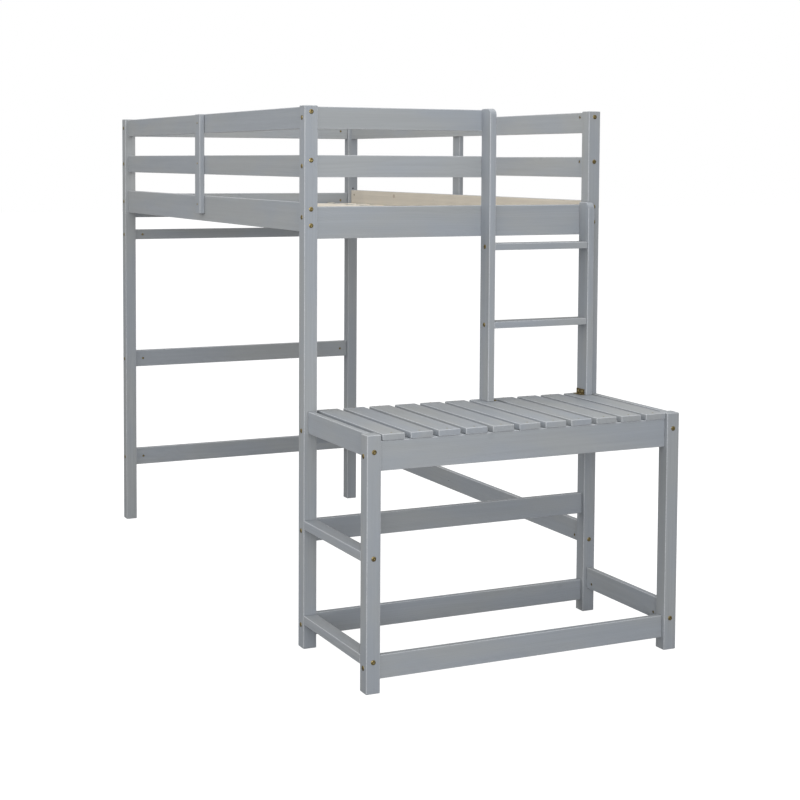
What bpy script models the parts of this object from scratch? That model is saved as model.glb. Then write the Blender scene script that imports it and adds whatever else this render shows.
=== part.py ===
"""Loft bed with a slatted desk at its foot end and a ladder that stands on the desk.

Bench frame used below: x runs right from the posts' outer left faces, y runs back from the front
posts' front faces (the desk lies at negative y), z runs up from the floor. The finished objects are
shifted by ORIGIN, so that the part's own origin is the middle of its footprint, on the floor.
"""

import math

import bmesh
import bpy
from mathutils import Matrix, Vector

# Driving dimensions, in metres
BED_WIDTH = 1.060
BED_LENGTH = 2.000
DESK_REACH = 0.466
POST = 0.044
POST_HEIGHT = 1.680
DESK_HEIGHT = 0.742
BOARD = 0.019
EDGE = 0.0025
GAP = 0.0003

# Top edge and height of each kind of rail
RAIL = 0.068
TOP_GUARD_TOP = 1.677
MID_GUARD_TOP = 1.529
SIDE_RAIL_TOP = 1.384
SIDE_RAIL = 0.091
END_RAIL_TOP = 1.371
END_RAIL = 0.099
UPPER_CROSSBAR_TOP = 1.221
UPPER_CROSSBAR = 0.041
MID_CROSSBAR_TOP = 0.712
LOW_CROSSBAR_TOP = 0.297
LOW_RAIL = 0.0695

# Guard uprights, screwed to the outside of the long sides
UPRIGHT_WIDTH = 0.054
UPRIGHT_BOTTOM = 1.320

# Desk
DESK_SLATS = 11
DESK_SLAT_WIDTH = 0.0715
DESK_SLATS_FROM_LEFT_LEG = 0.0075
DESK_SLATS_FROM_RIGHT_LEG = 0.001
DESK_SLAT_OVERHANG = 0.004
DESK_SLAT_BACK = 0.022
APRON = 0.0865
FRONT_APRON_THICK = 0.028
DESK_RAIL_TOP_MID = 0.4025
DESK_RAIL_TOP_LOW = 0.107
RIGHT_LOW_RAIL_TOP = 0.150
STRETCHER = 0.028
STRETCHER_TOP_MID = 0.4035
STRETCHER_TOP_LOW = 0.106

# Ladder
STILE_THICK = 0.023
STILE_DEPTH = 0.059
STILE_ROUND = 0.022
LEFT_STILE_X = 0.618
RIGHT_STILE_CLEAR = 0.004
RIGHT_STILE_TOP = 1.380
RUNG_THICK = 0.022
RUNG_INSET = 0.003
RUNG_TOPS = (("ladder_rung_lower", 0.999), ("ladder_rung_upper", 1.2505))
BRACKET_WIDTH = 0.046
BRACKET_BACK = 0.004
BRACKET_RISE = 0.018
BRACKET_FOOT = 0.015
BRACKET_SHEET = 0.002
BRACKET_HOLE = 0.0045

# Mattress support
BED_SLATS = 14
BED_SLAT_WIDTH = 0.068
BED_SLAT_THICK = 0.015
BED_SLAT_TOP = 1.326
BED_SLAT_END_CLEAR = 0.003
BED_SLAT_ROW_INSET = 0.045
LEDGER_WIDTH = 0.026
LEDGER_END_CLEAR = 0.010
STRAP_WIDTH = 0.025
STRAP_THICK = 0.0015
STRAP_OVERLAP = 0.0005
STRAP_INSET = 0.135

# Cross bolts and barrel nuts: where each bore lies, measured from the edge of the post
BOLT_BORE = 0.007
NUT_BORE = 0.010
NUT_PAST_BOLT = 0.0055
NUT_DISTANCE = 0.033
BORE_SIDES = 8
NUT_SIDES = 12
CLEAR_START = 0.001
SIDE_RAIL_BOLTS_APART = 0.050
GUARD_BOLT_ABOVE_MIDDLE = 0.018
LOW_STRETCHER_BOLT_BELOW_MIDDLE = 0.018
SIDE_BOARD_BOLT_ABOVE_APRON_BOLT = 0.014
LOW_RAIL_BOLT_BELOW_MIDDLE = 0.016

# Spare holes: half way along the right side's lower stretcher, and in the rear right post's front
PILOT_BORE = 0.005
PILOT_DEPTH = 0.010
PILOT_HEIGHT = 0.260
SPARE_BORE = 0.008
SPARE_DEPTH = 0.012
SPARE_ABOVE_SIDE_RAIL = 0.007

# Fineness of the round shapes
ROUND_STEPS = 6
BEVEL_SEGMENTS = 2
SHARP_ANGLE = math.radians(40)

# Places that follow from the dimensions above
LEFT_LINE = POST / 2
RIGHT_LINE = BED_WIDTH - POST / 2
FRONT_LINE = POST / 2
REAR_LINE = BED_LENGTH - POST / 2
DESK_LINE = POST / 2 - DESK_REACH
RECESS = (POST - BOARD) / 2
ORIGIN = Vector((BED_WIDTH / 2, (BED_LENGTH - DESK_REACH) / 2, 0))
DESK_FRONT = -DESK_REACH
STILE_BACK = RECESS - GAP
STILE_FRONT = STILE_BACK - STILE_DEPTH
STILE_FOOT = DESK_HEIGHT + GAP
RIGHT_STILE_X = BED_WIDTH - POST - RIGHT_STILE_CLEAR - STILE_THICK

GREY_PAINT = ((0.34, 0.36, 0.38), 0.5, 0.0)
BARE_PINE = ((0.72, 0.60, 0.42), 0.6, 0.0)
BRASS = ((0.66, 0.45, 0.16), 0.35, 1.0)
WEBBED_PINE = ((0.78, 0.68, 0.52), 0.65, 0.0)

parts = {}
bores = {}
nut_bores = {}


def finish(name, look):
    """A Principled material of this colour, roughness and metallic value."""
    colour, roughness, metallic = look
    material = bpy.data.materials.new(name)
    material.use_nodes = True
    shader = material.node_tree.nodes["Principled BSDF"]
    shader.inputs["Base Color"].default_value = (*colour, 1)
    shader.inputs["Roughness"].default_value = roughness
    shader.inputs["Metallic"].default_value = metallic
    return material


def add_part(name, mesh, centre, look):
    """Links a mesh as the named sub-part, with its middle at this point of the bench frame."""
    mesh.materials.append(finish(name, look))
    part = bpy.data.objects.new(name, mesh)
    part.location = Vector(centre) - ORIGIN
    part.parent = assembly
    bpy.context.scene.collection.objects.link(part)
    parts[name] = part
    return part


def ease_edges(part, width):
    """Rounds the corners of a part that are sharper than its own curves."""
    bevel = part.modifiers.new("eased edges", "BEVEL")
    bevel.width = width
    bevel.segments = BEVEL_SEGMENTS
    bevel.limit_method = "ANGLE"
    bevel.angle_limit = SHARP_ANGLE


def box_mesh(name, boxes):
    """One mesh with a box for each (low corner, high corner) pair."""
    bm = bmesh.new()
    for low, high in boxes:
        low, high = Vector(low), Vector(high)
        scale = Matrix.Diagonal((*(high - low), 1))
        bmesh.ops.create_cube(bm, size=1, matrix=Matrix.Translation((low + high) / 2) @ scale)
    mesh = bpy.data.meshes.new(name)
    bm.to_mesh(mesh)
    bm.free()
    return mesh


def board(name, low, high, look=GREY_PAINT, edge=EDGE):
    """A straight board between two corners of the bench frame, with eased edges."""
    low, high = Vector(low), Vector(high)
    half = (high - low) / 2
    part = add_part(name, box_mesh(name, [(-half, half)]), (low + high) / 2, look)
    ease_edges(part, edge)
    return part


def extruded(name, outline, across, start, end, look):
    """A prism: an outline of (first, z) points carried along the axis named across."""
    mesh = bpy.data.meshes.new(name)
    bm = bmesh.new()
    if across == "x":
        corners = [bm.verts.new((start, a, z)) for a, z in outline]
        step = (end - start, 0, 0)
    else:
        corners = [bm.verts.new((a, start, z)) for a, z in outline]
        step = (0, end - start, 0)
    face = bm.faces.new(corners)
    sweep = bmesh.ops.extrude_face_region(bm, geom=[face])
    moved = [v for v in sweep["geom"] if isinstance(v, bmesh.types.BMVert)]
    bmesh.ops.translate(bm, verts=moved, vec=step)
    bmesh.ops.recalc_face_normals(bm, faces=bm.faces)
    middle = sum((v.co for v in bm.verts), Vector()) / len(bm.verts)
    bmesh.ops.translate(bm, verts=bm.verts, vec=-middle)
    bm.to_mesh(mesh)
    bm.free()
    return add_part(name, mesh, middle, look)


def drill(table, name, start, direction, depth, diameter):
    """Notes a round bore into the named part; the bores are cut when every part is in place."""
    table.setdefault(name, []).append((Vector(start), Vector(direction), depth, diameter))


def cut_bores(table, sides, label):
    """Cuts every noted bore with one Boolean for each part."""
    for name, cuts in table.items():
        bm = bmesh.new()
        for start, direction, depth, diameter in cuts:
            turn = direction.to_track_quat("Z", "Y").to_matrix().to_4x4()
            place = Matrix.Translation(start + direction * depth / 2 - ORIGIN) @ turn
            bmesh.ops.create_cone(
                bm, cap_ends=True, segments=sides, depth=depth, matrix=place,
                radius1=diameter / 2, radius2=diameter / 2,
            )
        mesh = bpy.data.meshes.new(label + name)
        bm.to_mesh(mesh)
        bm.free()
        cutter = bpy.data.objects.new(label + name, mesh)
        cutter.hide_render = True
        cutter.display_type = "WIRE"
        bpy.context.scene.collection.objects.link(cutter)
        boolean = parts[name].modifiers.new(label + "bores", "BOOLEAN")
        boolean.operation = "DIFFERENCE"
        boolean.solver = "EXACT"
        boolean.object = cutter


def bolt_joint(rail, post, joint, outward, thick, nut_side):
    """A cross bolt through the post into the rail's end, and the barrel nut's hole in the rail.

    joint is the middle of the bolt where the rail meets the post, outward points from the rail
    to the post, and nut_side is the side of the rail that the nut is dropped into.
    """
    head = joint + outward * (POST + CLEAR_START)
    drill(bores, post, head, -outward, POST + 2 * CLEAR_START, BOLT_BORE)
    mouth = joint + outward * CLEAR_START
    drill(bores, rail, mouth, -outward, CLEAR_START + NUT_DISTANCE, BOLT_BORE)
    nut = joint - outward * NUT_DISTANCE + nut_side * (thick / 2 + CLEAR_START)
    depth = CLEAR_START + thick / 2 + NUT_PAST_BOLT
    drill(nut_bores, rail, nut, -nut_side, depth, NUT_BORE)


def cross_rail(
    name, line, top, height, bolts, nut_side, posts, start=POST, end=BED_WIDTH - POST, thick=BOARD
):
    """A rail along x between two posts, standing on edge with its middle on the line."""
    board(name, (start + GAP, line - thick / 2, top - height), (end - GAP, line + thick / 2, top))
    side = Vector((0, nut_side, 0))
    for post, x, way in zip(posts, (start, end), (-1, 1)):
        for level in bolts:
            joint = Vector((x, line, level))
            bolt_joint(name, post, joint, Vector((way, 0, 0)), thick, side)


def long_rail(name, line, start, end, top, height, bolts, nut_side, posts):
    """A rail along y between two posts, standing on edge on their centre line."""
    board(name, (line - BOARD / 2, start + GAP, top - height), (line + BOARD / 2, end - GAP, top))
    side = Vector((nut_side, 0, 0))
    for post, y, way in zip(posts, (start, end), (-1, 1)):
        for level in bolts:
            joint = Vector((line, y, level))
            bolt_joint(name, post, joint, Vector((0, way, 0)), BOARD, side)


def build_posts():
    corners = {
        "post_front_left": (LEFT_LINE, FRONT_LINE, POST_HEIGHT),
        "post_front_right": (RIGHT_LINE, FRONT_LINE, POST_HEIGHT),
        "post_rear_left": (LEFT_LINE, REAR_LINE, POST_HEIGHT),
        "post_rear_right": (RIGHT_LINE, REAR_LINE, POST_HEIGHT),
        "desk_leg_left": (LEFT_LINE, DESK_LINE, DESK_HEIGHT),
        "desk_leg_right": (RIGHT_LINE, DESK_LINE, DESK_HEIGHT),
    }
    half = POST / 2
    for name, (x, y, height) in corners.items():
        board(name, (x - half, y - half, 0), (x + half, y + half, height))


def build_long_sides():
    """Guard rails, side rail and upright of each long side, and the right side's lower stretcher."""
    guard_top_bolt = TOP_GUARD_TOP - RAIL / 2 + GUARD_BOLT_ABOVE_MIDDLE
    guard_mid_bolt = MID_GUARD_TOP - RAIL / 2 + GUARD_BOLT_ABOVE_MIDDLE
    low_bolt = LOW_CROSSBAR_TOP - LOW_RAIL / 2 - LOW_STRETCHER_BOLT_BELOW_MIDDLE
    side_middle = SIDE_RAIL_TOP - SIDE_RAIL / 2
    side_bolts = [side_middle - SIDE_RAIL_BOLTS_APART / 2, side_middle + SIDE_RAIL_BOLTS_APART / 2]
    pilot_mouth = (RIGHT_LINE - BOARD / 2 - CLEAR_START, BED_LENGTH / 2, PILOT_HEIGHT)
    pilot_depth = PILOT_DEPTH + CLEAR_START
    drill(bores, "right_lower_stretcher", pilot_mouth, (1, 0, 0), pilot_depth, PILOT_BORE)
    spare_height = SIDE_RAIL_TOP + SPARE_ABOVE_SIDE_RAIL
    spare_mouth = (RIGHT_LINE, BED_LENGTH - POST - CLEAR_START, spare_height)
    spare_depth = SPARE_DEPTH + CLEAR_START
    drill(bores, "post_rear_right", spare_mouth, (0, 1, 0), spare_depth, SPARE_BORE)
    for side, line, inward in (("left", LEFT_LINE, 1), ("right", RIGHT_LINE, -1)):
        posts = (f"post_front_{side}", f"post_rear_{side}")
        rails = [
            ("guard_rail_top", TOP_GUARD_TOP, RAIL, [guard_top_bolt]),
            ("guard_rail_mid", MID_GUARD_TOP, RAIL, [guard_mid_bolt]),
            ("side_rail", SIDE_RAIL_TOP, SIDE_RAIL, side_bolts),
        ]
        if side == "right":
            rails.append(("lower_stretcher", LOW_CROSSBAR_TOP, LOW_RAIL, [low_bolt]))
        for kind, top, height, bolts in rails:
            long_rail(
                f"{side}_{kind}", line, POST, BED_LENGTH - POST, top, height, bolts, inward, posts
            )
        near = line - inward * (BOARD / 2 + GAP)
        far = near - inward * BOARD
        middle = BED_LENGTH / 2
        board(
            f"{side}_guard_upright",
            (min(near, far), middle - UPRIGHT_WIDTH / 2, UPRIGHT_BOTTOM),
            (max(near, far), middle + UPRIGHT_WIDTH / 2, TOP_GUARD_TOP),
        )


def build_ends():
    """Rails across the bed's rear end, and the shorter guard rails beside the ladder."""
    guard_levels = (
        ("guard_rail_top", TOP_GUARD_TOP, RAIL),
        ("guard_rail_mid", MID_GUARD_TOP, RAIL),
    )
    rear_levels = (
        ("end_rail", END_RAIL_TOP, END_RAIL),
        ("upper_crossbar", UPPER_CROSSBAR_TOP, UPPER_CROSSBAR),
        ("mid_crossbar", MID_CROSSBAR_TOP, RAIL),
        ("low_crossbar", LOW_CROSSBAR_TOP, LOW_RAIL),
    )
    end_bolt = SIDE_RAIL_TOP - SIDE_RAIL / 2
    rear_posts = ("post_rear_left", "post_rear_right")
    for kind, top, height in (*guard_levels, *rear_levels):
        bolt = end_bolt if kind == "end_rail" else top - height / 2
        cross_rail(f"rear_{kind}", REAR_LINE, top, height, [bolt], -1, rear_posts)
    front_posts = ("post_front_left", "post_front_right")
    cross_rail("front_end_rail", FRONT_LINE, END_RAIL_TOP, END_RAIL, [end_bolt], 1, front_posts)
    for kind, top, height in guard_levels:
        cross_rail(
            f"front_{kind}", FRONT_LINE, top, height, [top - height / 2], 1, front_posts[:1],
            end=LEFT_STILE_X + STILE_THICK,
        )


def stile_outline(top):
    """Side view of a ladder stile as (y, z) points, with its top front corner rounded."""
    outline = [(STILE_BACK, STILE_FOOT), (STILE_BACK, top)]
    for i in range(ROUND_STEPS + 1):
        turn = math.pi / 2 * i / ROUND_STEPS
        y = STILE_FRONT + STILE_ROUND * (1 - math.sin(turn))
        z = top - STILE_ROUND * (1 - math.cos(turn))
        outline.append((y, z))
    outline.append((STILE_FRONT, STILE_FOOT))
    return outline


def build_ladder():
    """Two stiles that stand on the desk, two rungs between them, and a bracket at each foot."""
    stiles = (
        ("ladder_stile_left", LEFT_STILE_X, POST_HEIGHT),
        ("ladder_stile_right", RIGHT_STILE_X, RIGHT_STILE_TOP),
    )
    for name, x, top in stiles:
        stile = extruded(name, stile_outline(top), "x", x, x + STILE_THICK, GREY_PAINT)
        ease_edges(stile, EDGE)
    start = LEFT_STILE_X + STILE_THICK
    end = RIGHT_STILE_X
    middle = (STILE_BACK + STILE_FRONT) / 2
    reach = CLEAR_START + NUT_DISTANCE
    for name, top in RUNG_TOPS:
        board(
            name,
            (start + GAP, STILE_FRONT + RUNG_INSET, top - RUNG_THICK),
            (end - GAP, STILE_BACK - RUNG_INSET, top),
        )
        level = top - RUNG_THICK / 2
        for stile, x, way in ((stiles[0][0], start, -1), (stiles[1][0], end, 1)):
            outward = Vector((way, 0, 0))
            joint = Vector((x, middle, level))
            head = joint + outward * (STILE_THICK + CLEAR_START)
            drill(bores, stile, head, -outward, STILE_THICK + 2 * CLEAR_START, BOLT_BORE)
            drill(bores, name, joint + outward * CLEAR_START, -outward, reach, BOLT_BORE)
            nut = joint - outward * NUT_DISTANCE
            nut.z = top - RUNG_THICK - CLEAR_START
            depth = CLEAR_START + RUNG_THICK / 2 + NUT_PAST_BOLT
            drill(nut_bores, name, nut, Vector((0, 0, 1)), depth, NUT_BORE)
    build_bracket("ladder_bracket_left", start + GAP, 1)
    build_bracket("ladder_bracket_right", end - GAP, -1)


def build_bracket(name, x, way):
    """A bent angle bracket: one leg up the stile's inner face, one leg out over a desk slat."""
    base = DESK_HEIGHT + GAP
    outline = [
        (x, base),
        (x + way * BRACKET_FOOT, base),
        (x + way * BRACKET_FOOT, base + BRACKET_SHEET),
        (x + way * BRACKET_SHEET, base + BRACKET_SHEET),
        (x + way * BRACKET_SHEET, base + BRACKET_RISE),
        (x, base + BRACKET_RISE),
    ]
    middle = (STILE_BACK + STILE_FRONT) / 2 + BRACKET_BACK
    half = BRACKET_WIDTH / 2
    extruded(name, outline, "y", middle - half, middle + half, BRASS)
    through = BRACKET_SHEET + 2 * CLEAR_START
    hole_x = x + way * (BRACKET_SHEET + BRACKET_FOOT) / 2
    hole_z = base + (BRACKET_SHEET + BRACKET_RISE) / 2
    for shift in (-half / 2, half / 2):
        y = middle + shift
        up = Vector((0, 0, 1))
        drill(nut_bores, name, (hole_x, y, base - CLEAR_START), up, through, BRACKET_HOLE)
        side = Vector((way, 0, 0))
        drill(nut_bores, name, (x - way * CLEAR_START, y, hole_z), side, through, BRACKET_HOLE)


def build_desk_frame():
    """Boards and rails that tie the two desk legs to the front posts."""
    back_of_leg = DESK_FRONT + POST
    apron_top = DESK_HEIGHT - BOARD - GAP
    legs = ("desk_leg_left", "desk_leg_right")
    posts = ("post_front_left", "post_front_right")
    apron_bolt = apron_top - APRON / 2
    board_bolt = apron_bolt + SIDE_BOARD_BOLT_ABOVE_APRON_BOLT
    low_bolt = DESK_RAIL_TOP_LOW - LOW_RAIL / 2
    mid_bolt = DESK_RAIL_TOP_MID - LOW_RAIL / 2
    apron_line = DESK_FRONT + RECESS + FRONT_APRON_THICK / 2
    cross_rail(
        "desk_front_apron", apron_line, apron_top, APRON, [apron_bolt], 1, legs,
        thick=FRONT_APRON_THICK,
    )
    cross_rail("desk_rear_apron", FRONT_LINE, apron_top, APRON, [apron_bolt], 1, posts)
    cross_rail("desk_front_low_rail", DESK_LINE, DESK_RAIL_TOP_LOW, LOW_RAIL, [low_bolt], 1, legs)
    cross_rail("desk_rear_mid_rail", FRONT_LINE, DESK_RAIL_TOP_MID, LOW_RAIL, [mid_bolt], 1, posts)
    cross_rail("desk_rear_low_rail", FRONT_LINE, DESK_RAIL_TOP_LOW, LOW_RAIL, [low_bolt], 1, posts)
    for side, line, inward in (("left", LEFT_LINE, 1), ("right", RIGHT_LINE, -1)):
        ends = (f"desk_leg_{side}", f"post_front_{side}")
        long_rail(
            f"desk_side_board_{side}", line, back_of_leg, 0, DESK_HEIGHT, RAIL,
            [board_bolt], inward, ends,
        )
    right_bolt = RIGHT_LOW_RAIL_TOP - LOW_RAIL / 2 - LOW_RAIL_BOLT_BELOW_MIDDLE
    long_rail(
        "desk_right_low_rail", RIGHT_LINE, back_of_leg, 0, RIGHT_LOW_RAIL_TOP, LOW_RAIL,
        [right_bolt], -1, (legs[1], posts[1]),
    )
    for name, top in (
        ("desk_left_mid_stretcher", STRETCHER_TOP_MID),
        ("desk_left_low_stretcher", STRETCHER_TOP_LOW),
    ):
        board(name, (0, back_of_leg + GAP, top - STRETCHER), (POST, -GAP, top))
        level = top - STRETCHER / 2
        for post, y, way in ((legs[0], back_of_leg, -1), (posts[0], 0, 1)):
            joint = Vector((LEFT_LINE, y, level))
            down = Vector((0, 0, -1))
            bolt_joint(name, post, joint, Vector((0, way, 0)), STRETCHER, down)


def build_desk_slats():
    """The desk's top: slats that run front to back, with even gaps between them."""
    first = POST + DESK_SLATS_FROM_LEFT_LEG
    last = BED_WIDTH - POST - DESK_SLATS_FROM_RIGHT_LEG - DESK_SLAT_WIDTH
    pitch = (last - first) / (DESK_SLATS - 1)
    front = DESK_FRONT + RECESS - DESK_SLAT_OVERHANG
    for i in range(DESK_SLATS):
        x = first + i * pitch
        board(
            f"desk_slat_{i + 1:02d}",
            (x, front, DESK_HEIGHT - BOARD),
            (x + DESK_SLAT_WIDTH, DESK_SLAT_BACK, DESK_HEIGHT),
        )


def build_mattress_support():
    """Ledgers along the side rails, and the slats that lie on them, joined by two straps on top."""
    slat_bottom = BED_SLAT_TOP - BED_SLAT_THICK
    rail_bottom = SIDE_RAIL_TOP - SIDE_RAIL
    inside = RECESS + BOARD
    start = POST + LEDGER_END_CLEAR
    end = BED_LENGTH - POST - LEDGER_END_CLEAR
    low, high = inside + GAP, inside + GAP + LEDGER_WIDTH
    for side, x0, x1 in (
        ("left", low, high),
        ("right", BED_WIDTH - high, BED_WIDTH - low),
    ):
        board(
            f"slat_ledger_{side}", (x0, start, rail_bottom), (x1, end, slat_bottom - GAP),
            BARE_PINE, EDGE / 2,
        )
    left = inside + BED_SLAT_END_CLEAR
    right = BED_WIDTH - left
    run = BED_LENGTH - 2 * BED_SLAT_ROW_INSET
    pitch = (run - BED_SLAT_WIDTH) / (BED_SLATS - 1)
    slats = []
    for i in range(BED_SLATS):
        y = BED_SLAT_ROW_INSET + i * pitch
        slats.append(((left, y, slat_bottom), (right, y + BED_SLAT_WIDTH, BED_SLAT_TOP)))
    strap_top = BED_SLAT_TOP - STRAP_OVERLAP + STRAP_THICK
    straps = []
    for x in (STRAP_INSET, BED_WIDTH - STRAP_INSET):
        near = (x - STRAP_WIDTH / 2, BED_SLAT_ROW_INSET + CLEAR_START, strap_top - STRAP_THICK)
        far = (x + STRAP_WIDTH / 2, BED_LENGTH - BED_SLAT_ROW_INSET - CLEAR_START, strap_top)
        straps.append((near, far))
    roll = add_part("bed_slat_roll", box_mesh("bed_slat_roll", slats), (0, 0, 0), WEBBED_PINE)
    webbing = bpy.data.objects.new("webbing", box_mesh("webbing", straps))
    webbing.location = -ORIGIN
    webbing.hide_render = True
    webbing.display_type = "WIRE"
    bpy.context.scene.collection.objects.link(webbing)
    join = roll.modifiers.new("webbing joined", "BOOLEAN")
    join.operation = "UNION"
    join.solver = "EXACT"
    join.object = webbing


for old in list(bpy.data.objects):
    bpy.data.objects.remove(old, do_unlink=True)
assembly = bpy.data.objects.new("loft_bed_with_desk", None)
bpy.context.scene.collection.objects.link(assembly)
build_posts()
build_long_sides()
build_ends()
build_ladder()
build_desk_frame()
build_desk_slats()
build_mattress_support()
cut_bores(bores, BORE_SIDES, "bolt_")
cut_bores(nut_bores, NUT_SIDES, "nut_")
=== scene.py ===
"""Looks of the loft bed with desk: finishes for every board, the bed slats and all hardware.

Everything is in metres in the row's frame: x right, y back (the desk is at the front), z up.
"""

import math
import random

import bmesh
import bpy
from mathutils import Matrix, Vector


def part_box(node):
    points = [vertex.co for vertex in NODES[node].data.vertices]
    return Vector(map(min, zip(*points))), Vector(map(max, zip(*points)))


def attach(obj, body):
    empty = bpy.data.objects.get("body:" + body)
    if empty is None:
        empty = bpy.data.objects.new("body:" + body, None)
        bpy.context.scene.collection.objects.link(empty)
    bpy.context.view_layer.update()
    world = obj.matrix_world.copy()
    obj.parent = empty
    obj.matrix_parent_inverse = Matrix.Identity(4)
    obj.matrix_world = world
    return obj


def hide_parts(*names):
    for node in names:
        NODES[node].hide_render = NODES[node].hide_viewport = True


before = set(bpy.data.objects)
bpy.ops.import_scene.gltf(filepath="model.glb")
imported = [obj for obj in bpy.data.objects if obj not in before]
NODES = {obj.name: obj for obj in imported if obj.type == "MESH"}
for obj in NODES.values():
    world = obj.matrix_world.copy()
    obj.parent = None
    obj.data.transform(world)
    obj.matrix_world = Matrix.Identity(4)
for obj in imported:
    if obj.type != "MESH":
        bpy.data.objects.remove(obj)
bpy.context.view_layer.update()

# Colours, linear
PAINT_COOL = (0.350, 0.377, 0.414)
PAINT_WARM = (0.372, 0.389, 0.402)
# Painted highlight: lighter paint along the edges of every painted board
PAINT_EDGE_HIGHLIGHT = (0.62, 0.64, 0.665)
PINE_EARLY = (0.69, 0.65, 0.583)
PINE_LATE = (0.505, 0.43, 0.325)
PINE_KNOT = (0.20, 0.10, 0.045)
# Bare drilled wood darkened with painted shade, for the walls of open holes
SHADED_BORE_WOOD = (0.07, 0.055, 0.042)
BRASS_BRIGHT = (0.45, 0.365, 0.165)
BRASS_DULL = (0.15, 0.105, 0.048)
# A brighter brass that paints light onto the bracket screws, which face away from the lamps
BRASS_LIT = (0.80, 0.70, 0.42)
BRONZE_BRIGHT = (0.40, 0.31, 0.15)
BRONZE_DULL = (0.075, 0.055, 0.03)
STEEL_BRIGHT = (0.55, 0.55, 0.56)
STEEL_DULL = (0.3, 0.3, 0.3)
WEBBING = (0.70, 0.68, 0.62)
FLOOR_GREY = (0.29, 0.29, 0.29, 1)
WHITE = (1, 1, 1, 1)

# Figure of the wood; lengths in metres
RING_WIDTH = 0.0042
RING_DRIFT = 0.030
KNOT_SWIRL = 0.007
KNOTS_PER_METRE = 6.5

# Where the paint turns to a painted edge highlight, to bare wood in painted shade inside a bore, and to bare
# pine, as a distance in metres: (where the change starts, where it is full)
EDGE_HIGHLIGHT_BAND = (0.0032, 0.0004)
INSIDE_BORE = (0.0010, 0.0022)
BARE_FACE = (0.0016, 0.0010)
# How far those lines wander, in metres, and how strong the painted edge highlight is
EDGE_HIGHLIGHT_RAGGED = 0.0032
BARE_RAGGED = 0.0012
EDGE_HIGHLIGHT_STRENGTH = 0.65

# Depth of the relief that a bump stands for, in metres
PAINT_RELIEF = 0.00035
PINE_RELIEF = 0.0003
METAL_RELIEF = 0.0001
WEAVE_RELIEF = 0.0003

# From thread to thread of the webbing, in metres
WARP_PITCH = 0.0011
WEFT_PITCH = 1.4 * WARP_PITCH

# Boards with a drilled hole that no bolt fills
OPEN_BORES = ("post_rear_right", "right_lower_stretcher")

# Bolts and barrel nuts, in metres
HEAD_RADIUS = 0.0074
HEAD_RISE = 0.0019
# The dome of a bolt's head from its socket down to the post: share of its rise, share of its radius
HEAD_DOME = ((0.93, 0.62), (0.72, 0.83), (0.42, 0.96), (0.16, 1.0))
HEAD_GAP = 0.00005
SOCKET_APOTHEM = 0.0020
SOCKET_RIM = 0.0008
SOCKET_CHAMFER = 0.0003
SOCKET_FLOOR = 0.0002
SHANK_RADIUS = 0.0030
SHANK_POINT = 0.001
SHANK_TIP = 0.7 * SHANK_RADIUS
SHANK_CLEAR = 0.0003
NUT_RADIUS = 0.0047
NUT_END = 0.92 * NUT_RADIUS
NUT_LENGTH = 0.0135
NUT_CHAMFER = 0.0004
NUT_SUNK = 0.0004
NUT_DISTANCE = 0.033
NUT_SLOT_HALF = 0.0007
NUT_SLOT_REACH = 0.80 * NUT_RADIUS
NUT_SLOT_DEPTH = 0.0012
# A nut lies just under the face of a board this thick, and deeper in a thicker one
BOARD = 0.019

# Wood screws; lengths in metres
SCREW_HEAD = 0.0038
SCREW_LENGTH = 0.030
SMALL_SCREW_HEAD = 0.0034
DESK_SCREW_SUNK = 0.0006
UPRIGHT_SCREW_LENGTH = 0.0402
STILE_SCREW_LENGTH = 0.045
STILE_SCREW_LEVELS = (-0.022, 0.022)
LEDGER_SCREW_LENGTH = 0.035
LEDGER_SCREWS = 8
BRACKET_SCREW_HEAD = 0.0036
BRACKET_SCREW_LENGTH = 0.016
BRACKET_SHEET = 0.002
# Screws across a bracket, as shares of its width from its middle
BRACKET_SCREW_PLACES = (-0.25, 0.25)

# Bed slats, straps and staples; lengths in metres
SLATS = 14
SLAT_WIDTH = 0.068
SLAT_THICK = 0.015
SLAT_ROUND = 0.0022
SLAT_UNEVEN = 0.0012
SLAT_LIGHTER = 0.26
STRAP_INSET = 0.1005
STRAP_WIDTH = 0.025
STRAP_THICK = 0.0013
STRAP_GAP = 0.0001
STRAP_SAG = 0.0016
STRAP_STEPS = 8
STRAP_END = 0.006
FOLD_RADIUS = 0.0011
FLAP_STEP = 0.005
FLAP_STEPS = 5
FLAP_DROP = 0.00022
STAPLE_HALF = 0.0055
STAPLE_WIRE = 0.0007
STAPLE_SHOULDER = 0.0005
STAPLE_BEND = 0.0002
STAPLE_LEG = 0.0016
STAPLE_SKEW = 0.0006
STAPLE_PLACES = (0.3, 0.7)

# Meshes
TURNED_SIDES = 24
STAPLE_SIDES = 6
SMOOTH_ANGLE = math.radians(35)
RIM_ANGLE = math.radians(60)
MERGE_DISTANCE = 0.00001
# Keeps the division in an outline away from zero
LEAST_DIVISOR = 0.001


# ---------------------------------------------------------------------------------------- shader nodes

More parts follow.
